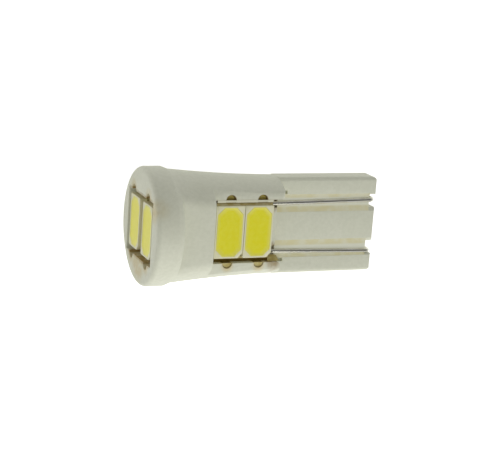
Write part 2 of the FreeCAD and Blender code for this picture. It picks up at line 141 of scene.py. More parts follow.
# Flux stains: how far each reaches and how far it is full, and where the low, mouth and front ones lie; the
# notch mark is partly burnt flux and partly painted shade of the notch holes
NOTCH_STAIN_AND_SHADE = (0.58, 0.53)
LOW_STAIN = (1.0, 0.35)
LOW_STAIN_OUT = 3.45
LOW_STAIN_UP = 2.7
PIT_STAIN = (1.3, 0.7)
MOUTH_STAIN = ((13.2, -3.3, 2.6), 1.2, 0.4)
FRONT_STAINS = (((0.3, 3.3, 2.4), 1.3, 0.5), ((0.3, 3.3, -2.4), 1.3, 0.5), ((0.3, -3.3, 2.4), 1.3, 0.5),
                ((0.3, -3.3, -2.4), 1.3, 0.5), ((0.3, 2.4, 4.3), 1.7, 0.3), ((0.3, -3.4, 0.0), 2.6, 1.2))

# Section of the set flux from a side chip to the pocket's wall: distance from the middle and level
CHIP_FLUX = 2.62
WALL_FLUX = 3.19
FLUX_FOOT = 2.45
SUNK_FLUX = ((CHIP_FLUX, 2.75), (2.8, 2.65), (2.98, 2.6), (WALL_FLUX, 2.5))
NOTCH_FLUX = ((CHIP_FLUX, 3.1), (2.82, 2.98), (2.98, 3.1), (WALL_FLUX, 3.12))
HEAPED_FLUX = ((CHIP_FLUX, 3.1), (2.82, 2.98), (2.98, 3.14), (WALL_FLUX, 3.17))
FLUX_ALONG = (6.85, 12.78)
SMEAR_ALONG = (12.8, 14.0)
SMEAR = ((2.85, 1.5), (2.85, 1.95), (3.0, 2.3), (WALL_FLUX, 2.75), (WALL_FLUX, 1.5))

# Where the flux is painted dark for the crease's shade and then near-white as a painted highlight of a lit
# edge, from the middle, and the levels that a heaped top has
FLUX_CREASE = (2.78, 2.9)
FLUX_EDGE_HIGHLIGHT = (2.88, 2.98)
FLUX_HEAP = (3.02, 3.12)
FLUX_BLEND = 0.04

# Flux in the notches: radius, distance from the middle, foot, and top on the side with and without a heap
PLUG_RADIUS = 0.48
PLUG_OUT = 3.18
PLUG_FOOT = 2.5
PLUG_TOPS = {1: 2.82, -1: 3.06}
PLUG_STEPS = 12

# Light chips, in the frame's metres: size of a case and its height over the board
CHIP_LOW, CHIP_HIGH = bulb_box("chip_side_a_1_case")
CHIP_TALL = CHIP_HIGH.z - bulb_box("board_side_a")[1].z

# Light chips, in millimetres: foot, corners and edge rounds of the case, slope and depth of its cup, and
# how the fill sinks from its rim, each ring with its distance in, its depth and how pale it is
CASE_FOOT = 0.15
CASE_CORNER = 0.04
CASE_ROUND = 0.05
CUP_DRAFT = 0.25
CUP_DEPTH = 0.5
FILL_GAP = 0.01
FILL_RINGS = ((0.004, 0.0, 1.0), (0.06, 0.022, 0.9), (0.16, 0.04, 0.5), (0.4, 0.055, 0.0))

# Meshes: distance in metres within which points are one, angles in degrees, and steps round a wire
WELD = 1e-6
FLAT_ANGLE = 0.6
BODY_EDGE = 32
BODY_SMOOTH = 40
CASE_EDGE = 28
CEMENT_SMOOTH = 40
FLUX_SMOOTH = 30
WIRE_BEND_STEPS = 8
WIRE_ROUND_STEPS = 20

# Stage: the tent's bright side and the dark opening in it that bright metal mirrors, the lamp, the floor
# and the camera's sensor and clip; the lamp's place and aim are in millimetres of the bulb frame
TENT_BRIGHT = (-0.2, -0.98, 0.0)
TENT_SPREAD = (-0.9, 0.9)
OPENING = (0.38, 0.0, 0.92)
OPENING_EDGE = (0.88, 0.97)
OPENING_LIGHT = 0.12
LAMP_PLACE = (16, -55, 62)
LAMP_SIDE = 0.06
LAMP_AIM = (12, 0, 0)
FLOOR_SEEN = 0.75
FLOOR_REACH = 1.5
FLOOR_GAP = 0.00001
SENSOR_WIDE = 36
CAMERA_CLIP = (0.005, 10)


# Mesh helpers
def new_object(name, mesh):
    """Object with a mesh, at the origin of the scene."""
    made = bpy.data.objects.new(name, mesh)
    bpy.context.scene.collection.objects.link(made)
    return made


def mesh_from(name, points, faces):
    """Mesh from points and faces, its normals outward."""
    mesh = bpy.data.meshes.new(name)
    mesh.from_pydata([tuple(p) for p in points], [], faces)
    build = bmesh.new()
    build.from_mesh(mesh)
    bmesh.ops.recalc_face_normals(build, faces=build.faces)
    build.to_mesh(mesh)
    build.free()
    return mesh


def add_prism(points, faces, first_ring, last_ring):
    """Adds a closed prism between two rings of points, in millimetres of the bulb frame."""
    start, count = len(points), len(first_ring)
    points += [Vector(p) * MM for p in (*first_ring, *last_ring)]
    faces += [tuple(range(start, start + count)), tuple(range(start + count, start + 2 * count))]
    faces += [(start + i, start + (i + 1) % count, start + count + (i + 1) % count, start + count + i)
              for i in range(count)]


def set_mesh(made, change=None):
    """The mesh an object shows with its modifiers, which are then removed."""
    graph = bpy.context.evaluated_depsgraph_get()
    graph.update()
    mesh = bpy.data.meshes.new_from_object(made.evaluated_get(graph))
    if change:
        mesh.transform(change)
    made.modifiers.clear()
    old = made.data
    made.data = mesh
    mesh.name = made.name
    bpy.data.meshes.remove(old)
    return made


def smooth(made, angle):
    """Smooth shading with sharp edges above an angle."""
    made.data.shade_smooth()
    made.data.set_sharp_from_angle(angle=math.radians(angle))


def finish_piece(made, replaced=()):
    """A shown piece: it rides on the body and stands for CAD nodes, which it hides."""
    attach(made, BODY)
    if replaced:
        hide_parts(*replaced)
    return made


def old_piece_gone(name):
    """Removes an object of this name, if there is one."""
    found = bpy.data.objects.get(name)
    if found:
        bpy.data.objects.remove(found)


# Colours and material nodes
def linear(code):
    """Linear colour from a screen colour such as "c8ccb4"."""
    values = [int(code[i:i + 2], 16) / 255 for i in (0, 2, 4)]
    return tuple(v / 12.92 if v <= 0.04045 else ((v + 0.055) / 1.055) ** 2.4 for v in values) + (1.0,)


def set_range(node, source, target):
    """Sets what a Map Range node takes and gives."""
    for key, number in zip(("From Min", "From Max", "To Min", "To Max"), (*source, *target)):
        node.inputs[key].default_value = number


class Finish:
    """A material under way: its tree, its shader and its place in millimetres of the bulb frame."""

    def __init__(self, name):
        self.material = bpy.data.materials.new(name)
        self.material.use_nodes = True
        self.tree = self.material.node_tree
        self.shader = self.tree.nodes["Principled BSDF"]
        coordinates = self.tree.nodes.new("ShaderNodeTexCoord")
        place = self.tree.nodes.new("ShaderNodeMapping")
        place.inputs["Location"].default_value = TO_BULB.to_translation() / MM
        place.inputs["Rotation"].default_value = TO_BULB.to_euler()
        place.inputs["Scale"].default_value = (1 / MM, 1 / MM, 1 / MM)
        self.join(coordinates.outputs["Object"], place.inputs["Vector"])
        self.place = place.outputs["Vector"]
        axes = self.tree.nodes.new("ShaderNodeSeparateXYZ")
        self.join(self.place, axes.inputs["Vector"])
        self.axes = axes.outputs
        plan = self.tree.nodes.new("ShaderNodeCombineXYZ")
        self.join(self.axes["X"], plan.inputs["X"])
        self.join(self.maths("ABSOLUTE", self.axes["Y"], 0.0), plan.inputs["Y"])
        self.plan = plan.outputs["Vector"]

    def join(self, output, target):
        """Links an output to an input."""
        self.tree.links.new(output, target)

    def set(self, name, value):
        """A number or colour that is the same all over."""
        self.shader.inputs[name].default_value = value

    def noise(self, size_mm, detail=2.0, rough=0.5):
        """Noise whose lumps are about a size in millimetres."""
        node = self.tree.nodes.new("ShaderNodeTexNoise")
        node.inputs["Scale"].default_value = 1 / size_mm
        node.inputs["Detail"].default_value = detail
        node.inputs["Roughness"].default_value = rough
        self.join(self.place, node.inputs["Vector"])
        return node.outputs["Fac"]

    def ramp(self, value, low, high, out_low=0.0, out_high=1.0):
        """A value spread from one range to another, held at its ends."""
        node = self.tree.nodes.new("ShaderNodeMapRange")
        node.interpolation_type = "SMOOTHSTEP"
        set_range(node, (low, high), (out_low, out_high))
        self.join(value, node.inputs["Value"])
        return node.outputs["Result"]

    def maths(self, operation, first, second):
        """Sum, product or other of two values, each an output or a number."""
        node = self.tree.nodes.new("ShaderNodeMath")
        node.operation = operation
        for number, value in enumerate((first, second)):
            if isinstance(value, (int, float)):
                node.inputs[number].default_value = value
            else:
                self.join(value, node.inputs[number])
        return node.outputs["Value"]

    def attribute(self, name):
        """A number stored on the mesh."""
        node = self.tree.nodes.new("ShaderNodeAttribute")
        node.attribute_name = name
        return node.outputs["Fac"]

    def near(self, point, reach_mm, full_mm=0.0, place=None):
        """1 near a point, falling to 0 at a reach; in plan if told, with both halves of the bulb as one."""
        node = self.tree.nodes.new("ShaderNodeVectorMath")
        node.operation = "DISTANCE"
        self.join(place or self.place, node.inputs[0])
        node.inputs[1].default_value = point
        return self.ramp(node.outputs["Value"], full_mm, reach_mm, 1.0, 0.0)

    def band(self, axis, middle, half, soft, both=False):
        """1 in a band across one axis, falling to 0 over a soft edge, on both sides of the axis if told."""
        value = self.maths("ABSOLUTE", self.axes[axis], 0.0) if both else self.axes[axis]
        off = self.maths("ABSOLUTE", self.maths("SUBTRACT", value, middle), 0.0)
        return self.ramp(off, half, half + soft, 1.0, 0.0)

    def product(self, *values):
        """Product of several values."""
        result = values[0]
        for value in values[1:]:
            result = self.maths("MULTIPLY", result, value)
        return result

    def most(self, values):
        """The largest of several values."""
        result = values[0]
        for value in values[1:]:
            result = self.maths("MAXIMUM", result, value)
        return result

    def blend(self, factor, first, second):
        """Colour between two, each an output or a screen colour."""
        node = self.tree.nodes.new("ShaderNodeMix")
        node.data_type = "RGBA"
        node.blend_type = "MIX"
        sockets = {s.identifier: s for s in node.inputs}
        for key, value in (("A_Color", first), ("B_Color", second)):
            if isinstance(value, str):
                sockets[key].default_value = linear(value)
            else:
                self.join(value, sockets[key])
        if isinstance(factor, (int, float)):
            sockets["Factor_Float"].default_value = factor
        else:
            self.join(factor, sockets["Factor_Float"])
        return next(s for s in node.outputs if s.identifier == "Result_Color")

    def crown(self, factor):
        """Normal turned by a factor towards straight out from the bulb's axis, as on a rounded surface."""
        out = self.tree.nodes.new("ShaderNodeCombineXYZ")
        self.join(self.axes["Y"], out.inputs["Y"])
        self.join(self.axes["Z"], out.inputs["Z"])
        turn = self.tree.nodes.new("ShaderNodeVectorRotate")
        turn.rotation_type = "EULER_XYZ"
        turn.inputs["Rotation"].default_value = BULB.to_euler()
        self.join(out.outputs["Vector"], turn.inputs["Vector"])
        unit = self.tree.nodes.new("ShaderNodeVectorMath")
        unit.operation = "NORMALIZE"
        self.join(turn.outputs["Vector"], unit.inputs[0])
        surface = self.tree.nodes.new("ShaderNodeNewGeometry")
        both = self.tree.nodes.new("ShaderNodeMix")
        both.data_type = "VECTOR"
        sockets = {s.identifier: s for s in both.inputs}
        self.join(factor, sockets["Factor_Float"])
        self.join(surface.outputs["Normal"], sockets["A_Vector"])
        self.join(unit.outputs["Vector"], sockets["B_Vector"])
        return next(s for s in both.outputs if s.identifier == "Result_Vector")

    def bump(self, height, depth_mm, normal=None):
        """Relief on the surface from a height."""
        node = self.tree.nodes.new("ShaderNodeBump")
        if normal:
            self.join(normal, node.inputs["Normal"])
        node.inputs["Distance"].default_value = depth_mm * MM
        node.inputs["Strength"].default_value = 1.0
        self.join(height, node.inputs["Height"])
        self.join(node.outputs["Normal"], self.shader.inputs["Normal"])


def flux_stain_and_shade(finish, tone):
    """Burnt flux left by hand soldering, over a tone in the notches, along the pockets and in the pits, with
    painted shade: dark brown in the notch holes and along the long pocket walls, strong on the upper side,
    and brown on the front pocket's long walls.
    """
    patchy = finish.ramp(finish.noise(0.7, 3.0), 0.3, 0.6, 0.5, 1.0)
    upper, lower, front = [], [], []
    for x in NOTCHES_ALONG:
        upper.append(finish.near((x, POCKET_HALF, 0), *NOTCH_STAIN_AND_SHADE, finish.plan))
        lower += [finish.near((x, -LOW_STAIN_OUT, z), *LOW_STAIN) for z in (LOW_STAIN_UP, -LOW_STAIN_UP)]
    for spot in FRONT_STAINS:
        front.append(finish.near(*spot))
    along = finish.band("X", POCKET_MIDDLE, POCKET_REACH, 0.4)
    walls = finish.product(finish.band("Y", POCKET_HALF, 0.03, 0.1, both=True), along,
                           finish.band("Z", 2.3, 0.8, 0.15, both=True))
    # Front pocket's long walls: painted shade of the recess
    front_pocket_shade = finish.product(finish.band("Y", POCKET_HALF, 0.1, 0.2, both=True), finish.band("Z", 0.0, 3.2, 0.9),
                          finish.band("X", 0.8, 0.7, 0.2))
    pits = [finish.near((PIT_ALONG, across * PIT_OUT, PIT_UP), *PIT_STAIN) for across in (1, -1)]
    pits.append(finish.near(*MOUTH_STAIN))
    tan = finish.blend(finish.noise(0.5, 3.0), "c4ab62", "d6c48a")
    tone = finish.blend(finish.product(finish.most(front), patchy, 0.6), tone, tan)
    # Brown flux stains in the pits and at the mouth; on the front pocket's long walls the same brown is
    # painted shade
    tone = finish.blend(finish.product(finish.most(pits + [front_pocket_shade]), patchy, 0.95), tone, "93742a")
    tone = finish.blend(finish.product(finish.most(lower), 0.8), tone, "d8bd6c")
    # Painted shade, partly burnt flux: dark brown in the notch holes and along the long pocket walls, strong
    # on the upper side and faint on the lower, as the recesses lie in shade
    dark = finish.product(finish.most(upper + [walls]), finish.ramp(finish.axes["Y"], -1.0, 1.0, 0.2, 0.9))
    return finish.blend(dark, tone, "7d6118")


def ceramic_finish(settings):
    """Unglazed off-white ceramic: dense and matt, faintly grained, flux-stained at the wires and chips, with
    painted shade in the notches and along the pocket walls.
    """
    finish = Finish("unglazed_ceramic")
    tone = finish.blend(finish.noise(3.5, 2.0), "dfe1cb", "e6e7d3")
    grain = finish.ramp(finish.noise(0.35, 3.0), 0.3, 0.7)
    tone = finish.blend(finish.product(grain, 0.35), tone, "d3d5be")
    finish.join(flux_stain_and_shade(finish, tone), finish.shader.inputs["Base Color"])
    finish.set("Roughness", settings.body_roughness)
    outward = finish.ramp(finish.maths("ABSOLUTE", finish.axes["Y"], 0.0), 3.1, 4.0, 0.5, 1.0)
    ledge = finish.product(outward, settings.ledge_crown, finish.band("X", POCKET_MIDDLE, POCKET_REACH, 0.4),
                           finish.band("Z", FLAT_LEVEL, 0.06, 0.1, both=True))
    finish.bump(finish.noise(0.22, 4.0, 0.6), 0.012, normal=finish.crown(ledge))
    return finish.material


def cement_finish():
    """Cement that beds the wires in their grooves: matt like the ceramic, tanned along its edges by flux."""
    finish = Finish("bedding_cement")
    edges = finish.most([finish.band("Y", *tan, both=True) for tan in CEMENT_TANS])
    patchy = finish.ramp(finish.noise(1.2, 3.0), 0.3, 0.65, 0.35, 0.9)
    tone = finish.blend(finish.product(edges, patchy), "e6e7d2", "dcd5a6")
    finish.join(tone, finish.shader.inputs["Base Color"])
    finish.set("Roughness", 0.6)
    finish.bump(finish.noise(0.3, 3.0), 0.01)
    return finish.material


def resin_finish():
    """White moulded resin of the chip cases, yellowed by the light of the phosphor in it."""
    finish = Finish("chip_case_resin")
    tone = finish.blend(finish.noise(0.6, 2.0), "e8e4ba", "edebcd")
    finish.join(tone, finish.shader.inputs["Base Color"])
    finish.set("Roughness", 0.42)
    finish.bump(finish.noise(0.2, 2.0), 0.004)
    return finish.material


def phosphor_finish():
    """Yellow phosphor powder settled in clear silicone: soft colour with fine mottling and a wet skin."""
    finish = Finish("phosphor_silicone")
    mottle = finish.ramp(finish.noise(0.45, 4.0, 0.65), 0.3, 0.7)
    tone = finish.blend(mottle, "f0e914", "f3ed34")
    tone = finish.blend(finish.attribute("rim"), tone, "f0ea74")
    finish.join(tone, finish.shader.inputs["Base Color"])
    finish.set("Roughness", 0.3)
    finish.set("Subsurface Weight", 0.15)
    finish.set("Subsurface Radius", (0.0004, 0.0003, 0.0001))
    finish.bump(finish.noise(0.25, 3.0), 0.006)
    return finish.material


def wire_finish():
    """Bright tinned copper: a smooth skin that mirrors the white tent, dulled a little here and there."""
    finish = Finish("tinned_copper")
    dull = finish.ramp(finish.noise(1.6, 2.0), 0.35, 0.7)
    finish.join(finish.blend(dull, "ecebe0", "dedccb"), finish.shader.inputs["Base Color"])
    finish.set("Metallic", 1.0)
    finish.join(finish.ramp(dull, 0.0, 1.0, 0.16, 0.26), finish.shader.inputs["Roughness"])
    return finish.material


def fluxed_finish(name, base, rough):
    """Soldered metal under a skin of burnt flux: half dull, brown where the flux lies thick."""
    finish = Finish(name)
    thick = finish.ramp(finish.noise(0.4, 3.0), 0.35, 0.65)
    finish.join(finish.blend(thick, base, "b59c58"), finish.shader.inputs["Base Color"])
    finish.join(finish.ramp(thick, 0.0, 1.0, 0.5, 0.05), finish.shader.inputs["Metallic"])
    finish.set("Roughness", rough)
    return finish.material


def flux_finish():
    """Set flux: pale by the chips, dark brown in the crease as painted shade, near-white at the wall's top
    edge as a painted highlight, tan in notches, and olive on the upper side, darker as painted shade.
    """
    finish = Finish("set_flux")
    off = finish.maths("ABSOLUTE", finish.axes["Y"], 0.0)
    level = finish.maths("ABSOLUTE", finish.axes["Z"], 0.0)
    patchy = finish.ramp(finish.noise(0.6, 3.0), 0.3, 0.7)
    pale = finish.blend(patchy, "dfd6a8", "c8b570")
    # Painted shade: dark brown in the crease between chip and wall, where the gap lies in shade
    crease = finish.ramp(off, *FLUX_CREASE)
    # Painted highlight: near-white along the heaped flux's top by the wall, a lit edge
    edge_highlight = finish.product(finish.ramp(off, *FLUX_EDGE_HIGHLIGHT), finish.ramp(level, *FLUX_HEAP))
    tone = finish.blend(edge_highlight, finish.blend(crease, pale, "6f5a1c"), "d9d8c0")
    tan = finish.blend(patchy, "d3c684", "b9a556")
    # Notch plugs: tan on the lower side, and olive on the upper side, darker as painted shade of the notch
    # holes
    heaped_side = finish.ramp(finish.product(finish.axes["Y"], finish.axes["Z"]), -1.0, 1.0)
    plugs = finish.ramp(off, POCKET_HALF - FLUX_BLEND, POCKET_HALF + FLUX_BLEND)
    tone = finish.blend(plugs, tone, finish.blend(heaped_side, tan, "b5a64a"))
    smear = finish.ramp(finish.axes["X"], FLUX_ALONG[1], FLUX_ALONG[1] + FLUX_BLEND)
    tone = finish.blend(smear, tone, tan)
    finish.join(tone, finish.shader.inputs["Base Color"])
    finish.set("Roughness", 0.4)
    return finish.material


def board_finish():
    """White solder mask on glass laminate: even, half gloss, a little flux-stained, with a dark brown band of
    painted shade along its upper edge.
    """
    finish = Finish("solder_mask_board")
    tone = finish.blend(finish.ramp(finish.noise(0.8, 3.0), 0.3, 0.7), "dad6b0", "c9bf8c")
    # Painted shade: a dark brown band along the upper long edge, where the gap by the pocket wall lies in
    # shade
    tone = finish.blend(finish.band("Y", POCKET_HALF, 0.15, 0.12), tone, "6f5a20")
    tone = finish.blend(finish.band("Y", -POCKET_HALF, 0.15, 0.12), tone, "d0b56a")
    finish.join(tone, finish.shader.inputs["Base Color"])
    finish.set("Roughness", 0.4)
    return finish.material


def resistor_finish():
    """Black glass coat on a chip resistor."""
    finish = Finish("resistor_glass")
    tone = finish.blend(finish.noise(0.5, 2.0), "141414", "1e1e1c")
    finish.join(tone, finish.shader.inputs["Base Color"])
    finish.set("Roughness", 0.3)
    return finish.material


# Pieces
def softened_body(settings):
    """The ceramic body with the soft edges that pressing and firing leave on it."""
    old_piece_gone("pressed_body")
    source = frame["nodes"]["ceramic_body"].data
    build = bmesh.new()
    build.from_mesh(source)
    bmesh.ops.transform(build, matrix=TO_BULB, verts=build.verts)
    bmesh.ops.remove_doubles(build, verts=build.verts, dist=WELD)
    flat = math.radians(FLAT_ANGLE)
    bmesh.ops.dissolve_limit(build, angle_limit=flat, verts=build.verts, edges=build.edges)
    mesh = bpy.data.meshes.new("pressed_body")
    build.to_mesh(mesh)
    build.free()
    mesh.materials.clear()
    made = new_object("pressed_body", mesh)
    bevel = made.modifiers.new("soft edges", "BEVEL")
    bevel.width = settings.edge_round
    bevel.segments = 2
    bevel.limit_method = "ANGLE"
    bevel.angle_limit = math.radians(BODY_EDGE)
    bevel.use_clamp_overlap = True
    bevel.harden_normals = False
    set_mesh(made, BULB)
    smooth(made, BODY_SMOOTH)
    made.data.materials.append(ceramic_finish(settings))
    return finish_piece(made, ["ceramic_body"])


def corner_loop(half_x, half_y, cuts, level):
    """Eight points round a rectangle with cut corners, at one level."""
    a, b, c, d = cuts
    return [(half_x, -half_y + a, level), (half_x, half_y - b, level), (half_x - b, half_y, level),
            (-half_x + c, half_y, level), (-half_x, half_y - c, level), (-half_x, -half_y + d, level),
            (-half_x + d, -half_y, level), (half_x - a, -half_y, level)]


def stacked(name, loops):
    """Mesh through a stack of loops with equal counts, closed at both ends."""
    count = len(loops[0])
    points = [p for loop in loops for p in loop]
    faces = []
    for level in range(len(loops) - 1):
        low, high = level * count, (level + 1) * count
        for i in range(count):
            j = (i + 1) % count
            faces.append((low + i, low + j, high + j, high + i))
    faces.append(tuple(range(count)))
    faces.append(tuple(range((len(loops) - 1) * count, len(loops) * count)))
    return mesh_from(name, points, faces)


def chip_case_mesh(settings):
    """Case of one light chip: outer wall with a marked corner, flat rim and sloping cup."""
    x, y = settings.chip_wide / 2, settings.chip_long / 2
    height, rim, corner = settings.chip_height, settings.chip_rim, settings.chip_corner
    draft = rim + CUP_DRAFT * MM
    small = CASE_CORNER * MM
    outer = (settings.chip_mark, small, small, small)
    inner = (corner,) * 4
    loops = [corner_loop(x, y, outer, CASE_FOOT * MM), corner_loop(x, y, outer, height),
             corner_loop(x - rim, y - rim, inner, height),
             corner_loop(x - draft, y - draft, inner, height - CUP_DEPTH * MM)]
    return stacked("chip_case", loops)


def phosphor_mesh(settings):
    """Phosphor fill of one chip, its surface sagging a little between the rims."""
    x, y = settings.chip_wide / 2 - settings.chip_rim, settings.chip_long / 2 - settings.chip_rim
    corner, top = (settings.chip_corner,) * 4, settings.chip_height - FILL_GAP * MM
    foot = (CUP_DRAFT - FILL_GAP / 2) * MM
    loops = [corner_loop(x - foot, y - foot, corner, top - (CUP_DEPTH - 2 * FILL_GAP) * MM)]
    for shrink, sag, _ in FILL_RINGS:
        loops.append(corner_loop(x - shrink * MM, y - shrink * MM, corner, top - sag * MM))
    mesh = stacked("phosphor", loops)
    rim = mesh.attributes.new("rim", "FLOAT", "POINT")
    count = len(loops[0])
    for number, (_, _, pale) in enumerate(FILL_RINGS, start=1):
        for i in range(count):
            rim.data[number * count + i].value = pale
    return mesh


def new_tree(name, inputs):
    """Empty node group with a geometry going in and out, and inputs of its own."""
    tree = bpy.data.node_groups.new(name, "GeometryNodeTree")
    tree.interface.new_socket("Geometry", in_out="INPUT", socket_type="NodeSocketGeometry")
    for key, kind in inputs.items():
        tree.interface.new_socket(key, in_out="INPUT", socket_type="NodeSocket" + kind)
    tree.interface.new_socket("Geometry", in_out="OUTPUT", socket_type="NodeSocketGeometry")
    return tree


def run_tree(made, tree, values):
    """Runs a node group on an object with values for its inputs, and keeps the mesh it gives."""
    step = made.modifiers.new(tree.name, "NODES")
    step.node_group = tree
    sockets = {s.name: s.identifier for s in tree.interface.items_tree if s.in_out == "INPUT"}
    for key, value in values.items():
        step[sockets[key]] = value
    return set_mesh(made, BULB)


def repeat_tree():
    """Node group that puts one object at every marked place."""
    tree = bpy.data.node_groups.get("at_places")
    if tree:
        return tree
    tree = new_tree("at_places", {"Piece": "Object", "Finish": "Material"})
    start = tree.nodes.new("NodeGroupInput")
    info = tree.nodes.new("GeometryNodeObjectInfo")
    turn = tree.nodes.new("GeometryNodeInputNamedAttribute")
    turn.data_type = "FLOAT_VECTOR"
    turn.inputs["Name"].default_value = "turn"
    place = tree.nodes.new("GeometryNodeInstanceOnPoints")
    real = tree.nodes.new("GeometryNodeRealizeInstances")
    finish = tree.nodes.new("GeometryNodeSetMaterial")
    end = tree.nodes.new("NodeGroupOutput")
    join = tree.links.new
    join(start.outputs["Geometry"], place.inputs["Points"])
    join(start.outputs["Piece"], info.inputs["Object"])
    join(info.outputs["Geometry"], place.inputs["Instance"])
    join(turn.outputs["Attribute"], place.inputs["Rotation"])
    join(place.outputs["Instances"], real.inputs["Geometry"])
    join(real.outputs["Geometry"], finish.inputs["Geometry"])
    join(start.outputs["Finish"], finish.inputs["Material"])
    join(finish.outputs["Geometry"], end.inputs["Geometry"])
    return tree


def chip_places():
    """Foot and turn of each chip, read off its CAD nodes: name, point and Euler turn in the bulb frame."""
    places = []
    for name in ("side_a_1", "side_a_2", "side_b_1", "side_b_2", "front_1", "front_2"):
        low, high = bulb_box("chip_%s_terminals" % name)
        centre = (low + high) / 2
        if name.startswith("side_a"):
            places.append((name, Vector((centre.x, centre.y, low.z)), Vector((0, 0, 0))))
        elif name.startswith("side_b"):
            places.append((name, Vector((centre.x, centre.y, high.z)), Vector((math.pi, 0, 0))))
        else:
            places.append((name, Vector((high.x, centre.y, centre.z)), Vector((0, -math.pi / 2, 0))))
    return places


def repeated_piece(name, mesh, finish, part, width):
    """One piece made of a mesh repeated at the six chip places, its edges softened by a width."""
    old_piece_gone(name)
    single = new_object(name + "_single", mesh)
    if width:
        bevel = single.modifiers.new("soft edges", "BEVEL")
        bevel.width = width
        bevel.segments = 3
        bevel.limit_method = "ANGLE"
        bevel.angle_limit = math.radians(CASE_EDGE)
        set_mesh(single)
    single.data.shade_smooth()
    places = chip_places()
    points = bpy.data.meshes.new(name)
    points.from_pydata([tuple(p) for _, p, _ in places], [], [])
    turn = points.attributes.new("turn", "FLOAT_VECTOR", "POINT")
    for number, (_, _, euler) in enumerate(places):
        turn.data[number].vector = euler
    made = new_object(name, points)
    run_tree(made, repeat_tree(), {"Piece": single, "Finish": finish})
    bpy.data.objects.remove(single)
    return finish_piece(made, ["chip_%s_%s" % (place, part) for place, _, _ in places])


def sweep_tree():
    """Node group that runs a round wire along a path."""
    tree = bpy.data.node_groups.get("wire_on_path")
    if tree:
        return tree
    tree = new_tree("wire_on_path", {"Radius": "Float", "Bend": "Float", "Finish": "Material"})
    start = tree.nodes.new("NodeGroupInput")
    path = tree.nodes.new("GeometryNodeMeshToCurve")
    bend = tree.nodes.new("GeometryNodeFilletCurve")
    bend.mode = "POLY"
    bend.inputs["Count"].default_value = WIRE_BEND_STEPS
    bend.inputs["Limit Radius"].default_value = True
    ring = tree.nodes.new("GeometryNodeCurvePrimitiveCircle")
    ring.inputs["Resolution"].default_value = WIRE_ROUND_STEPS
    skin = tree.nodes.new("GeometryNodeCurveToMesh")
    skin.inputs["Fill Caps"].default_value = True
    soft = tree.nodes.new("GeometryNodeSetShadeSmooth")
    real = tree.nodes.new("GeometryNodeRealizeInstances")
    finish = tree.nodes.new("GeometryNodeSetMaterial")
    end = tree.nodes.new("NodeGroupOutput")
    join = tree.links.new
    join(start.outputs["Geometry"], path.inputs["Mesh"])
    join(path.outputs["Curve"], bend.inputs["Curve"])
    join(start.outputs["Bend"], bend.inputs["Radius"])
    join(start.outputs["Radius"], ring.inputs["Radius"])
    join(bend.outputs["Curve"], skin.inputs["Curve"])
    join(ring.outputs["Curve"], skin.inputs["Profile Curve"])
    join(skin.outputs["Mesh"], soft.inputs["Geometry"])
    join(soft.outputs["Geometry"], real.inputs["Geometry"])
    join(real.outputs["Geometry"], finish.inputs["Geometry"])
    join(start.outputs["Finish"], finish.inputs["Material"])
    join(finish.outputs["Geometry"], end.inputs["Geometry"])
    return tree


def contact_wire(settings, number, finish):
    """One contact wire along its groove, round the end of the wedge and back on the other face."""
    name = "bent_wire_%d" % number
    old_piece_gone(name)
    low, high = bulb_box("contact_wire_%d" % number)
    radius = settings.wire_diameter / 2
    ends = (low.y + radius, high.y - radius)
    start_y, end_y = ends if low.y > 0 else reversed(ends)
    turn = high.x - radius
    top, bottom = high.z - radius, low.z + radius
    slope = (end_y - start_y) / (turn - low.x)
    tail = settings.wire_tail
    points = [Vector((low.x, start_y, top)), Vector((turn, end_y, top)), Vector((turn, end_y, bottom)),
              Vector((turn - tail, end_y - slope * tail, bottom))]
    mesh = bpy.data.meshes.new(name)
    mesh.from_pydata([tuple(p) for p in points], [(0, 1), (1, 2), (2, 3)], [])
    made = new_object(name, mesh)
    run_tree(made, sweep_tree(), {"Radius": radius, "Bend": settings.wire_bend, "Finish": finish})
    return finish_piece(made, ["contact_wire_%d" % number])


def deposit(name, points, faces, angle, finish):
    """A deposit on the ceramic: its mesh, smoothed below an angle, with a finish."""
    old_piece_gone(name)
    mesh = mesh_from(name, points, faces)
    mesh.transform(BULB)
    made = new_object(name, mesh)
    smooth(made, angle)
    mesh.materials.append(finish)
    return finish_piece(made)


def groove_cement(settings):
    """Cement in the four wire grooves, a little hollow between the edges of each groove."""
    inner, outer = GROOVE_EDGES
    inner_fall, outer_fall = CEMENT_FALLS
    points, faces = [], []
    for face in (1, -1):
        for across in (1, -1):
            section = []
            for step in range(CEMENT_STEPS + 1):
                t = step / CEMENT_STEPS
                sag = settings.cement_sag / MM * min(1.0, inner_fall * t, outer_fall * (1 - t))
                y = across * (inner + (outer - inner) * t)
                section.append((y, face * (FACE_LEVEL - CEMENT_SINK - sag)))
            section += [(y, face * (FACE_LEVEL - CEMENT_DEEP)) for y, _ in reversed(section)]
            add_prism(points, faces, *[[(x, y, z) for y, z in section] for x in (SECTION_END, CEMENT_END)])
    return deposit("groove_cement", points, faces, CEMENT_SMOOTH, cement_finish())


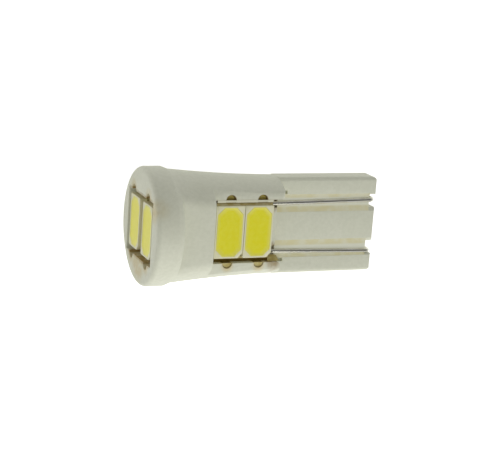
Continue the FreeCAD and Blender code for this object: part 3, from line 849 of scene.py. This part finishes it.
def pocket_flux(settings):
    """Flux set between the chips and the long walls of the side pockets, in the notches and by one pit."""
    gap = settings.notch_wide / 2 / MM
    start, end = FLUX_ALONG
    stations = [start] + [x + side * gap for x in NOTCHES_ALONG for side in (-1, 1)] + [end]
    points, faces = [], []
    for face in (1, -1):
        for across in (1, -1):
            for number, ends in enumerate(zip(stations, stations[1:])):
                if across * face < 0:
                    top = SUNK_FLUX
                else:
                    top = NOTCH_FLUX if number % 2 else HEAPED_FLUX
                section = ((CHIP_FLUX, FLUX_FOOT),) + top + ((WALL_FLUX, FLUX_FOOT),)
                rings = [[(x, across * y, face * z) for y, z in section] for x in ends]
                add_prism(points, faces, *rings)
        for x in NOTCHES_ALONG:
            for side, top in PLUG_TOPS.items():
                across = side * face
                turns = [math.pi * step / PLUG_STEPS for step in range(PLUG_STEPS + 1)]
                outline = [(x + PLUG_RADIUS * math.cos(t), across * (PLUG_OUT + PLUG_RADIUS * math.sin(t)))
                           for t in turns]
                rings = [[(px, py, face * z) for px, py in outline] for z in (PLUG_FOOT, top)]
                add_prism(points, faces, *rings)
        rings = [[(x, -face * y, face * z) for y, z in SMEAR] for x in SMEAR_ALONG]
        add_prism(points, faces, *rings)
    return deposit("pocket_flux", points, faces, FLUX_SMOOTH, flux_finish())


def dress_nodes(names, finish):
    """Gives CAD nodes a finish in their own slots."""
    for name in names:
        node = frame["nodes"][name]
        node.data.materials.clear()
        node.data.materials.append(finish)


# Settings shown in the sidebar
class BulbSettings(bpy.types.PropertyGroup):
    """Sizes of the bulb's looks"""

    edge_round: bpy.props.FloatProperty(
        name="Edge round", description="Width of the soft edges of the ceramic", default=0.0001,
        min=0.00001, max=0.0004, unit="LENGTH")
    ledge_crown: bpy.props.FloatProperty(
        name="Ledge crown", description="How far the narrow flats beside the side pockets look crowned",
        default=0.32, min=0.0, max=1.0, subtype="FACTOR")
    cement_sag: bpy.props.FloatProperty(
        name="Cement sag", description="How far the cement dips between the edges of a groove",
        default=0.00009, min=0.0, max=0.0003, unit="LENGTH")
    notch_wide: bpy.props.FloatProperty(
        name="Notch width", description="Width of the notches in the long walls of the side pockets",
        default=0.00104, min=0.0002, max=0.002, unit="LENGTH")
    body_roughness: bpy.props.FloatProperty(
        name="Ceramic roughness", description="How matt the ceramic is", default=0.55,
        min=0.05, max=1.0, subtype="FACTOR")
    chip_wide: bpy.props.FloatProperty(
        name="Chip width", description="Short side of a light chip",
        default=CHIP_HIGH.x - CHIP_LOW.x, unit="LENGTH")
    chip_long: bpy.props.FloatProperty(
        name="Chip length", description="Long side of a chip's case",
        default=CHIP_HIGH.y - CHIP_LOW.y, unit="LENGTH")
    chip_height: bpy.props.FloatProperty(
        name="Chip height", description="Height of a chip over its board", default=CHIP_TALL, unit="LENGTH")
    chip_rim: bpy.props.FloatProperty(
        name="Chip rim", description="Width of the rim round the phosphor", default=0.00015, unit="LENGTH")
    chip_corner: bpy.props.FloatProperty(
        name="Window corner", description="Cut corners of the phosphor window", default=0.0007, unit="LENGTH")
    chip_mark: bpy.props.FloatProperty(
        name="Corner mark", description="Cut corner that marks a chip's negative side", default=0.0005,
        unit="LENGTH")
    wire_diameter: bpy.props.FloatProperty(
        name="Wire diameter", description="Diameter of a contact wire", default=0.0005, unit="LENGTH")
    wire_bend: bpy.props.FloatProperty(
        name="Wire bend", description="Radius of a wire's bends", default=0.00035, unit="LENGTH")
    wire_tail: bpy.props.FloatProperty(
        name="Wire tail", description="Length of a wire on the far face", default=0.0075, unit="LENGTH")


class StageSettings(bpy.types.PropertyGroup):
    """Camera and light of the photo"""

    camera_yaw: bpy.props.FloatProperty(
        name="Camera yaw", description="Turn of the view towards the head", default=math.radians(22.6),
        unit="ROTATION")
    camera_rise: bpy.props.FloatProperty(
        name="Camera rise", description="Turn of the view towards the upper edge", default=math.radians(13.2),
        unit="ROTATION")
    camera_roll: bpy.props.FloatProperty(
        name="Camera roll", description="Roll of the picture", default=math.radians(4.15), unit="ROTATION")
    camera_distance: bpy.props.FloatProperty(
        name="Camera distance", description="From the camera to the bulb", default=0.1363, unit="LENGTH")
    camera_lens: bpy.props.FloatProperty(
        name="Lens", description="Focal length on a 36 mm sensor", default=96.6, min=10, max=400)
    aim_along: bpy.props.FloatProperty(
        name="Aim along", description="Point of the axis the view is aimed at", default=0.012, unit="LENGTH")
    aim_right: bpy.props.FloatProperty(
        name="Aim right", description="Offset of the view to the right", default=0.00026, unit="LENGTH")
    aim_up: bpy.props.FloatProperty(
        name="Aim up", description="Offset of the view upward", default=0.00013, unit="LENGTH")
    lamp_power: bpy.props.FloatProperty(
        name="Lamp power", description="Power of the soft box", default=0.0245, min=0.0, max=50.0)
    sky: bpy.props.FloatProperty(
        name="Room light", description="Light of the white tent on its bright side", default=0.7,
        min=0.0, max=5.0)
    sky_far: bpy.props.FloatProperty(
        name="Far room light", description="Light of the tent on its dim side", default=0.39,
        min=0.0, max=5.0)
    floor_glow: bpy.props.FloatProperty(
        name="Floor light", description="Light the lit sweep throws up", default=0.4, min=0.0, max=5.0)
    floor_colour: bpy.props.FloatVectorProperty(
        name="Floor colour", description="Colour of the white sweep", default=(0.9, 0.9, 0.9),
        subtype="COLOR")


def camera_matrix(stage):
    """Place and turn of the camera from its angles round the bulb."""
    yaw, rise, roll = stage.camera_yaw, stage.camera_rise, stage.camera_roll
    right = Vector((math.cos(yaw), 0, math.sin(yaw)))
    up = Vector((math.sin(rise) * math.sin(yaw), math.cos(rise), -math.sin(rise) * math.cos(yaw)))
    back = Vector((-math.sin(yaw) * math.cos(rise), math.sin(rise), math.cos(yaw) * math.cos(rise)))
    rolled_right = right * math.cos(roll) + up * math.sin(roll)
    rolled_up = up * math.cos(roll) - right * math.sin(roll)
    eye = Vector((stage.aim_along, 0, 0)) + back * stage.camera_distance
    eye -= rolled_right * stage.aim_right + rolled_up * stage.aim_up
    turn = Matrix((rolled_right, rolled_up, back)).transposed().to_4x4()
    return BULB @ Matrix.Translation(eye) @ turn


def aimed(made, target):
    """Turns a lamp to look at a point."""
    made.rotation_euler = (target - made.location).to_track_quat("-Z", "Y").to_euler()


def white_floor(stage):
    """White sweep under the bulb, lit from below: white to the camera, it still takes the bulb's shadow."""
    material = bpy.data.materials.new("white_sweep")
    material.use_nodes = True
    tree = material.node_tree
    tree.nodes.clear()
    paper = tree.nodes.new("ShaderNodeBsdfDiffuse")
    paper.inputs["Color"].default_value = tuple(stage.floor_colour) + (1.0,)
    glow = tree.nodes.new("ShaderNodeEmission")
    both = tree.nodes.new("ShaderNodeAddShader")
    rays = tree.nodes.new("ShaderNodeLightPath")
    strength = tree.nodes.new("ShaderNodeMapRange")
    strength.inputs["To Min"].default_value = stage.floor_glow
    strength.inputs["To Max"].default_value = FLOOR_SEEN
    end = tree.nodes.new("ShaderNodeOutputMaterial")
    join = tree.links.new
    join(rays.outputs["Is Camera Ray"], strength.inputs["Value"])
    join(strength.outputs["Result"], glow.inputs["Strength"])
    join(paper.outputs[0], both.inputs[0])
    join(glow.outputs[0], both.inputs[1])
    join(both.outputs[0], end.inputs["Surface"])
    corners = [(x * FLOOR_REACH, y * FLOOR_REACH, 0) for x, y in ((-1, -1), (1, -1), (1, 1), (-1, 1))]
    mesh = mesh_from("floor", corners, [(0, 1, 2, 3)])
    made = new_object("floor", mesh)
    mesh.materials.append(material)
    made.location.z = -FLOOR_GAP
    return made


def white_room(stage):
    """Soft light from all round, brighter from one side, and white where the camera sees it."""
    world = bpy.data.worlds.new("white_tent")
    bpy.context.scene.world = world
    world.use_nodes = True
    tree = world.node_tree
    tree.nodes.clear()
    ray = tree.nodes.new("ShaderNodeTexCoord")
    side = tree.nodes.new("ShaderNodeVectorMath")
    side.operation = "DOT_PRODUCT"
    side.inputs[1].default_value = Vector(TENT_BRIGHT).normalized()
    spread = tree.nodes.new("ShaderNodeMapRange")
    set_range(spread, TENT_SPREAD, (stage.sky_far, stage.sky))
    opening = tree.nodes.new("ShaderNodeVectorMath")
    opening.operation = "DOT_PRODUCT"
    opening.inputs[1].default_value = (BULB.to_3x3() @ Vector(OPENING)).normalized()
    dark = tree.nodes.new("ShaderNodeMapRange")
    dark.interpolation_type = "SMOOTHSTEP"
    set_range(dark, OPENING_EDGE, (1.0, OPENING_LIGHT))
    shiny = tree.nodes.new("ShaderNodeMapRange")
    shiny.inputs["To Min"].default_value = 1.0
    strength = tree.nodes.new("ShaderNodeMath")
    strength.operation = "MULTIPLY"
    lit = tree.nodes.new("ShaderNodeBackground")
    seen = tree.nodes.new("ShaderNodeBackground")
    rays = tree.nodes.new("ShaderNodeLightPath")
    choice = tree.nodes.new("ShaderNodeMixShader")
    end = tree.nodes.new("ShaderNodeOutputWorld")
    join = tree.links.new
    join(ray.outputs["Generated"], side.inputs[0])
    join(side.outputs["Value"], spread.inputs["Value"])
    join(ray.outputs["Generated"], opening.inputs[0])
    join(opening.outputs["Value"], dark.inputs["Value"])
    join(rays.outputs["Is Glossy Ray"], shiny.inputs["Value"])
    join(dark.outputs["Result"], shiny.inputs["To Max"])
    join(spread.outputs["Result"], strength.inputs[0])
    join(shiny.outputs["Result"], strength.inputs[1])
    join(strength.outputs["Value"], lit.inputs["Strength"])
    join(rays.outputs["Is Camera Ray"], choice.inputs["Fac"])
    join(lit.outputs[0], choice.inputs[1])
    join(seen.outputs[0], choice.inputs[2])
    join(choice.outputs[0], end.inputs["Surface"])


def soft_box(name, place, power, side, target):
    """Square soft box aimed at a point."""
    light = bpy.data.lights.new(name, "AREA")
    light.shape = "RECTANGLE"
    light.size, light.size_y = side, side
    light.energy = power
    made = bpy.data.objects.new(name, light)
    bpy.context.scene.collection.objects.link(made)
    made.location = place
    aimed(made, target)
    return made


# Operators
class BULB_OT_body(bpy.types.Operator):
    """Makes the ceramic body with soft edges"""

    bl_idname = "bulb.body"
    bl_label = "Ceramic body"

    def execute(self, context):
        softened_body(context.scene.bulb)
        return {"FINISHED"}


class BULB_OT_chips(bpy.types.Operator):
    """Makes the cases and phosphor of the six light chips"""

    bl_idname = "bulb.chips"
    bl_label = "Light chips"

    def execute(self, context):
        settings = context.scene.bulb
        repeated_piece("chip_cases", chip_case_mesh(settings), resin_finish(), "case",
                       CASE_ROUND * MM)
        repeated_piece("chip_phosphors", phosphor_mesh(settings), phosphor_finish(),
                       "phosphor", 0)
        return {"FINISHED"}


class BULB_OT_wires(bpy.types.Operator):
    """Makes the two bent contact wires and the cement they lie in"""

    bl_idname = "bulb.wires"
    bl_label = "Contact wires"

    def execute(self, context):
        finish = wire_finish()
        for number in (1, 2):
            contact_wire(context.scene.bulb, number, finish)
        groove_cement(context.scene.bulb)
        return {"FINISHED"}


class BULB_OT_boards(bpy.types.Operator):
    """Dresses the boards, the chip terminals, the solder and the inner parts"""

    bl_idname = "bulb.boards"
    bl_label = "Boards and inner parts"

    def execute(self, context):
        nodes = sorted(frame["nodes"])
        boards = [n for n in nodes if n.startswith("board_") or n == "core_board"]
        dress_nodes(boards, board_finish())
        plate = fluxed_finish("silver_plate", "e6dfba", 0.4)
        dress_nodes([n for n in nodes if n.endswith("_terminals")], plate)
        solder = fluxed_finish("tin_solder", "dcd3a2", 0.35)
        dress_nodes([n for n in nodes if n.startswith("solder")], solder)
        # Pins: dark brown, partly burnt flux and partly painted shade of the notch holes they sit in
        pins_in_shade = fluxed_finish("tinned_pin", "5f4c12", 0.5)
        dress_nodes([n for n in nodes if n.startswith("link_")], pins_in_shade)
        dress_nodes([n for n in nodes if n.startswith("resistor")], resistor_finish())
        pocket_flux(context.scene.bulb)
        return {"FINISHED"}


class BULB_OT_stage(bpy.types.Operator):
    """Sets the white sweep, the lights and the camera of the photo"""

    bl_idname = "bulb.stage"
    bl_label = "Photo stage"

    def execute(self, context):
        stage = context.scene.bulb_stage
        floor = white_floor(stage)
        white_room(stage)
        lamp = soft_box("front_box", at(*LAMP_PLACE), stage.lamp_power, LAMP_SIDE, at(*LAMP_AIM))
        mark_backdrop(floor, lamp)
        data = bpy.data.cameras.new("photo_camera")
        data.lens = stage.camera_lens
        data.sensor_width = SENSOR_WIDE
        data.clip_start, data.clip_end = CAMERA_CLIP
        camera = bpy.data.objects.new("photo_camera", data)
        context.scene.collection.objects.link(camera)
        camera.matrix_world = camera_matrix(stage)
        context.scene.camera = camera
        context.scene.view_settings.view_transform = "Standard"
        return {"FINISHED"}


class BULB_PT_panel(bpy.types.Panel):
    """Sidebar panel of the bulb"""

    bl_idname = "BULB_PT_panel"
    bl_label = "Wedge base bulb"
    bl_space_type = "VIEW_3D"
    bl_region_type = "UI"
    bl_category = "Bulb"

    def draw(self, context):
        layout = self.layout
        for group in (context.scene.bulb, context.scene.bulb_stage):
            box = layout.box()
            for key in group.__annotations__:
                box.prop(group, key)
        for operator in OPERATORS:
            layout.operator(operator.bl_idname)


OPERATORS = (BULB_OT_body, BULB_OT_chips, BULB_OT_wires, BULB_OT_boards, BULB_OT_stage)
CLASSES = (BulbSettings, StageSettings) + OPERATORS + (BULB_PT_panel,)


def register():
    """Adds the classes and the scene's settings."""
    for cls in CLASSES:
        bpy.utils.register_class(cls)
    bpy.types.Scene.bulb = bpy.props.PointerProperty(type=BulbSettings)
    bpy.types.Scene.bulb_stage = bpy.props.PointerProperty(type=StageSettings)


def unregister():
    """Takes them away again."""
    del bpy.types.Scene.bulb_stage
    del bpy.types.Scene.bulb
    for cls in reversed(CLASSES):
        bpy.utils.unregister_class(cls)


def corners():
    """Lowest and highest corner of what is shown, as lists."""
    return [list(corner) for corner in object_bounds()]


def main():
    """Builds every piece and the stage."""
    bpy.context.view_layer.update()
    register()
    for operator in OPERATORS:
        name = operator.bl_idname.split(".")[1]
        getattr(bpy.ops.bulb, name)()


if __name__ == "__main__":
    main()
